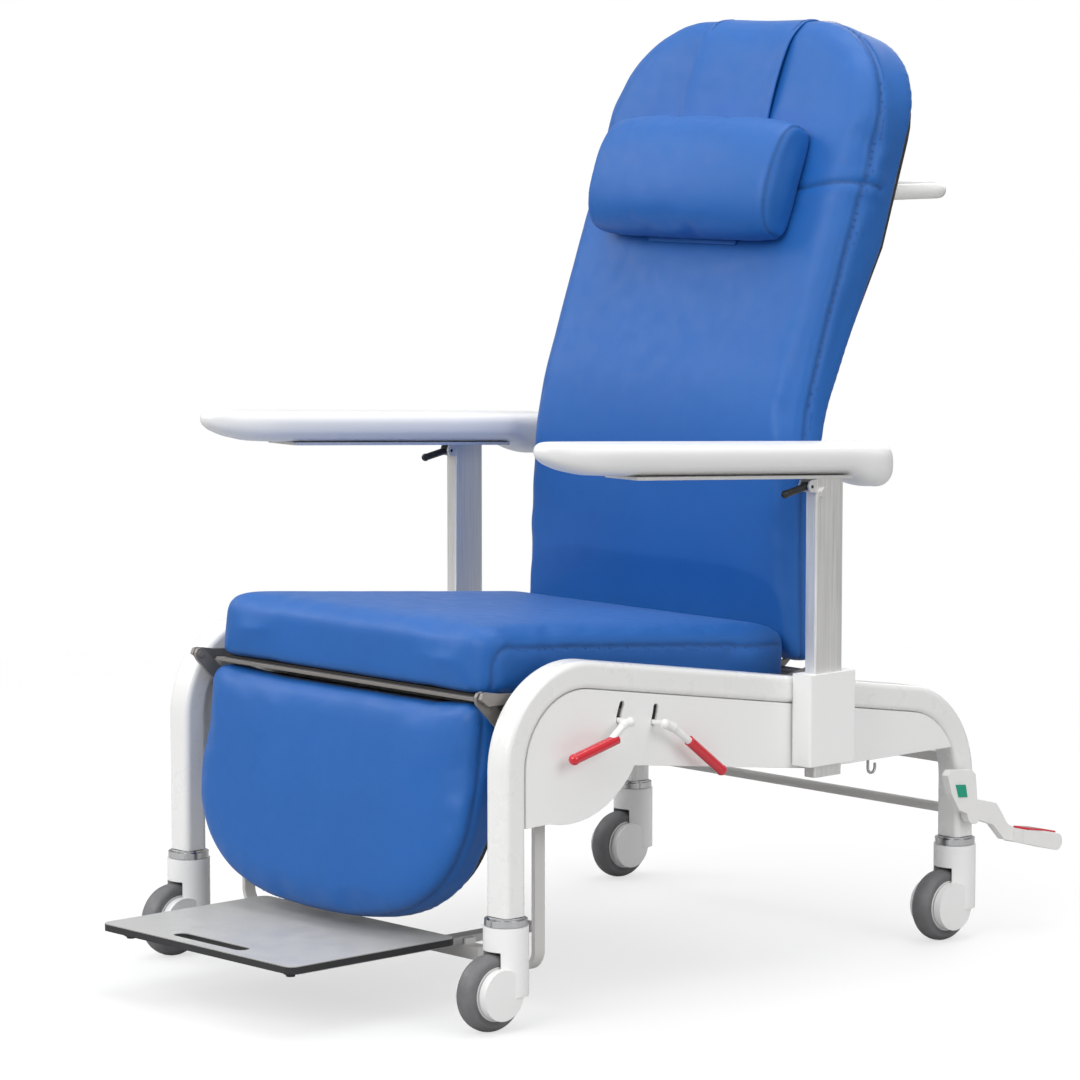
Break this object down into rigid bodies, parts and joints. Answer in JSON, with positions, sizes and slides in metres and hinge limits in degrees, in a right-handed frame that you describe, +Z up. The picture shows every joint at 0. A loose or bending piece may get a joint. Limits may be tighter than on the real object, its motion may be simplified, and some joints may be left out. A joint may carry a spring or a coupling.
{
  "type": "patient recliner chair",
  "caption": "Wheeled patient recliner chair with a reclining padded back, folding legrest, sliding footplate, height-adjustable armrests, headrest pillow and locking castors.",
  "frame": {"origin": "on the floor, under the middle of the chair's outline", "axes": "+X to the patient's left, -Y to the front (where the legs point), +Z up"},
  "size_m": [0.76, 1.272, 1.292],
  "materials": {
    "white_tube": "satin powder coat",
    "white_cover": "fine matte moulded plastic",
    "grey_steel": "satin",
    "dark_board": "matte",
    "blue_vinyl": "fine-grained vinyl-coated cloth, satin",
    "chrome": "polished",
    "zinc_steel": "satin",
    "footrest_paint": "satin",
    "strut_black": "satin",
    "strut_chrome": "polished",
    "laminate_core": "matte",
    "laminate_face": "fine-grained laminate",
    "black_plastic": "matte",
    "brushed_post": "brushed",
    "arm_pad": "soft skinned foam, satin",
    "lever_white": "satin",
    "red_grip": "gloss",
    "green_mark": "gloss",
    "caster_white": "satin",
    "caster_tyre": "matte"
  },
  "bodies": {
    "chassis": {"side_frame_left": "white_tube", "side_frame_right": "white_tube", "front_cover_left": "white_cover", "front_cover_right": "white_cover", "rear_cover_left": "white_cover", "rear_cover_right": "white_cover", "post_socket_left": "white_cover", "post_socket_right": "white_cover", "cross_tubes": "footrest_paint", "lever_bracket": "grey_steel", "seat_frame": "grey_steel", "seat_board": "dark_board", "seat_cushion": "blue_vinyl", "leg_collars": "chrome", "accessory_hook": "zinc_steel", "footrest_frame": "footrest_paint"},
    "backrest": {"backrest_frame": "grey_steel", "backrest_board": "dark_board", "backrest_cushion": "blue_vinyl", "push_handle": "white_tube", "pillow_strap": "blue_vinyl"},
    "pillow": {"headrest_pillow": "blue_vinyl"},
    "strut_cylinder": {"back_strut_cylinder": "strut_black"},
    "strut_rod": {"back_strut_rod": "strut_chrome"},
    "legrest": {"legrest_frame": "grey_steel", "legrest_board": "dark_board", "legrest_cushion": "blue_vinyl"},
    "footplate": {"footplate_core": "laminate_core", "footplate_laminate": "laminate_face", "footplate_runners": "zinc_steel", "footplate_feet": "black_plastic"},
    "armrest_left": {"armrest_post_left": "brushed_post", "armrest_plate_left": "brushed_post", "armrest_pad_left": "arm_pad"},
    "height_lever_left": {"armrest_lever_left": "black_plastic"},
    "armrest_right": {"armrest_post_right": "brushed_post", "armrest_plate_right": "brushed_post", "armrest_pad_right": "arm_pad"},
    "height_lever_right": {"armrest_lever_right": "black_plastic"},
    "legrest_lever": {"legrest_release_lever": "lever_white", "legrest_release_grip": "red_grip"},
    "back_lever": {"back_release_lever": "lever_white", "back_release_grip": "red_grip"},
    "brake": {"brake_shaft": "footrest_paint", "brake_pedal": "lever_white", "brake_lock_pad": "red_grip", "brake_free_mark": "green_mark"},
    "swivel_front_left": {"caster_fork_front_left": "caster_white"},
    "wheel_front_left": {"caster_tyre_front_left": "caster_tyre", "caster_hub_front_left": "caster_white"},
    "swivel_front_right": {"caster_fork_front_right": "caster_white"},
    "wheel_front_right": {"caster_tyre_front_right": "caster_tyre", "caster_hub_front_right": "caster_white"},
    "swivel_rear_left": {"caster_fork_rear_left": "caster_white"},
    "wheel_rear_left": {"caster_tyre_rear_left": "caster_tyre", "caster_hub_rear_left": "caster_white"},
    "swivel_rear_right": {"caster_fork_rear_right": "caster_white"},
    "wheel_rear_right": {"caster_tyre_rear_right": "caster_tyre", "caster_hub_rear_right": "caster_white"}
  },
  "joints": [
    {"name": "backrest_recline", "type": "hinge", "parent": "chassis", "child": "backrest", "pos_m": [0, 0.217, 0.392], "axis": [-1, 0, 0], "range_deg": [0, 60]},
    {"name": "pillow_height", "type": "slide", "parent": "backrest", "child": "pillow", "axis": [0, 0.3477, 0.9376], "range_m": [-0.08, 0.06]},
    {"name": "strut_swing", "type": "hinge", "parent": "chassis", "child": "strut_cylinder", "pos_m": [0.06, -0.2, 0.34], "axis": [1, 0, 0], "range_deg": [-1, 5]},
    {"name": "strut_stroke", "type": "slide", "parent": "strut_cylinder", "child": "strut_rod", "axis": [0, 0.9971, -0.0756], "range_m": [-0.1, 0.002]},
    {"name": "legrest_lift", "type": "hinge", "parent": "chassis", "child": "legrest", "pos_m": [0, -0.394, 0.422], "axis": [-1, 0, 0], "range_deg": [0, 80]},
    {"name": "footplate_slide", "type": "slide", "parent": "chassis", "child": "footplate", "axis": [0, 1, 0], "range_m": [0, 0.24]},
    {"name": "armrest_height_left", "type": "slide", "parent": "chassis", "child": "armrest_left", "axis": [0, 0, -1], "range_m": [0, 0.18]},
    {"name": "height_lever_press_left", "type": "hinge", "parent": "armrest_left", "child": "height_lever_left", "pos_m": [0.361, 0.126, 0.664], "axis": [-1, 0, 0], "range_deg": [0, 18], "stiffness_Nm_per_rad": 0.6, "springref_deg": -28.65},
    {"name": "armrest_height_right", "type": "slide", "parent": "chassis", "child": "armrest_right", "axis": [0, 0, -1], "range_m": [0, 0.18]},
    {"name": "height_lever_press_right", "type": "hinge", "parent": "armrest_right", "child": "height_lever_right", "pos_m": [-0.361, 0.126, 0.664], "axis": [-1, 0, 0], "range_deg": [0, 18], "stiffness_Nm_per_rad": 0.6, "springref_deg": -28.65},
    {"name": "legrest_lever_lift", "type": "hinge", "parent": "chassis", "child": "legrest_lever", "pos_m": [0.33, -0.106, 0.361], "axis": [-1, 0, 0], "range_deg": [0, 12], "stiffness_Nm_per_rad": 3, "springref_deg": -17.19},
    {"name": "back_lever_lift", "type": "hinge", "parent": "chassis", "child": "back_lever", "pos_m": [0.33, -0.232, 0.404], "axis": [1, 0, 0], "range_deg": [0, 12], "stiffness_Nm_per_rad": 3, "springref_deg": -17.19},
    {"name": "brake_pedal_turn", "type": "hinge", "parent": "chassis", "child": "brake", "pos_m": [0, 0.469, 0.182], "axis": [1, 0, 0], "range_deg": [0, 30]},
    {"name": "swivel_turn_front_left", "type": "hinge", "parent": "chassis", "child": "swivel_front_left", "pos_m": [0.325, -0.386, 0.1], "axis": [0, 0, 1], "continuous": true},
    {"name": "wheel_roll_front_left", "type": "hinge", "parent": "swivel_front_left", "child": "wheel_front_left", "pos_m": [0.325, -0.414, 0.05], "axis": [1, 0, 0], "continuous": true},
    {"name": "swivel_turn_front_right", "type": "hinge", "parent": "chassis", "child": "swivel_front_right", "pos_m": [-0.325, -0.386, 0.1], "axis": [0, 0, 1], "continuous": true},
    {"name": "wheel_roll_front_right", "type": "hinge", "parent": "swivel_front_right", "child": "wheel_front_right", "pos_m": [-0.325, -0.414, 0.05], "axis": [1, 0, 0], "continuous": true},
    {"name": "swivel_turn_rear_left", "type": "hinge", "parent": "chassis", "child": "swivel_rear_left", "pos_m": [0.325, 0.469, 0.1], "axis": [0, 0, 1], "continuous": true},
    {"name": "wheel_roll_rear_left", "type": "hinge", "parent": "swivel_rear_left", "child": "wheel_rear_left", "pos_m": [0.325, 0.441, 0.05], "axis": [1, 0, 0], "continuous": true},
    {"name": "swivel_turn_rear_right", "type": "hinge", "parent": "chassis", "child": "swivel_rear_right", "pos_m": [-0.325, 0.469, 0.1], "axis": [0, 0, 1], "continuous": true},
    {"name": "wheel_roll_rear_right", "type": "hinge", "parent": "swivel_rear_right", "child": "wheel_rear_right", "pos_m": [-0.325, 0.441, 0.05], "axis": [1, 0, 0], "continuous": true}
  ],
  "couplings": [
    {"joint": "strut_swing", "follows": "backrest_recline", "ratio": 0.05581},
    {"joint": "strut_stroke", "follows": "backrest_recline", "m_per_rad": -0.08003}
  ]
}
